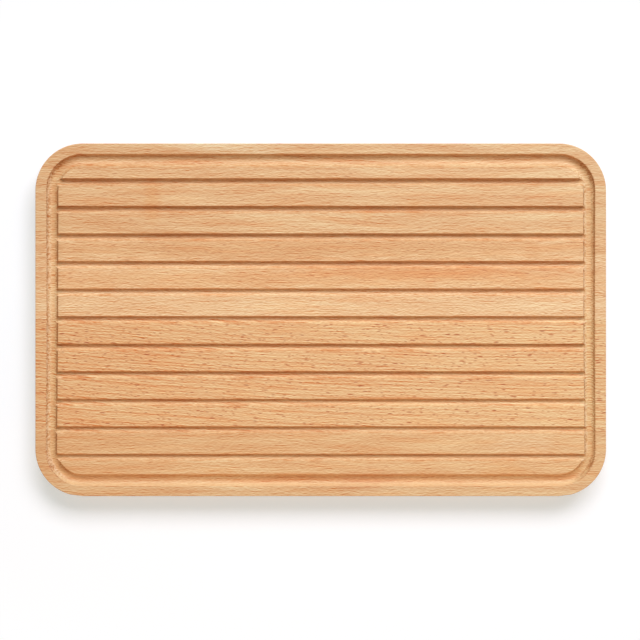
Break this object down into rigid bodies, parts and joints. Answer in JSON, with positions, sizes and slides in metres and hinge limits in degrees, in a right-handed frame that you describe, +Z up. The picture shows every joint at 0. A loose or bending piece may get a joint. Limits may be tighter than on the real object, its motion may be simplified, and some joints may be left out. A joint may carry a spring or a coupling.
{
  "type": "bread board",
  "caption": "Flat rectangular wooden bread board with rounded corners, with parallel crumb grooves that run out into a channel round the rim.",
  "frame": {"origin": "middle of the flat underside, where the board rests on the worktop", "axes": "+X along the grain and the grooves, +Y from the front edge to the rear edge, +Z up out of the grooved face"},
  "size_m": [0.4, 0.2472, 0.02],
  "materials": {
    "rear_beech": "finely sanded and oiled",
    "rear_middle_beech": "finely sanded and oiled",
    "front_middle_beech": "finely sanded and oiled",
    "front_beech": "finely sanded and oiled"
  },
  "bodies": {
    "root": {"rear_stave": "rear_beech", "rear_middle_stave": "rear_middle_beech", "front_middle_stave": "front_middle_beech", "front_stave": "front_beech"}
  },
  "joints": []
}
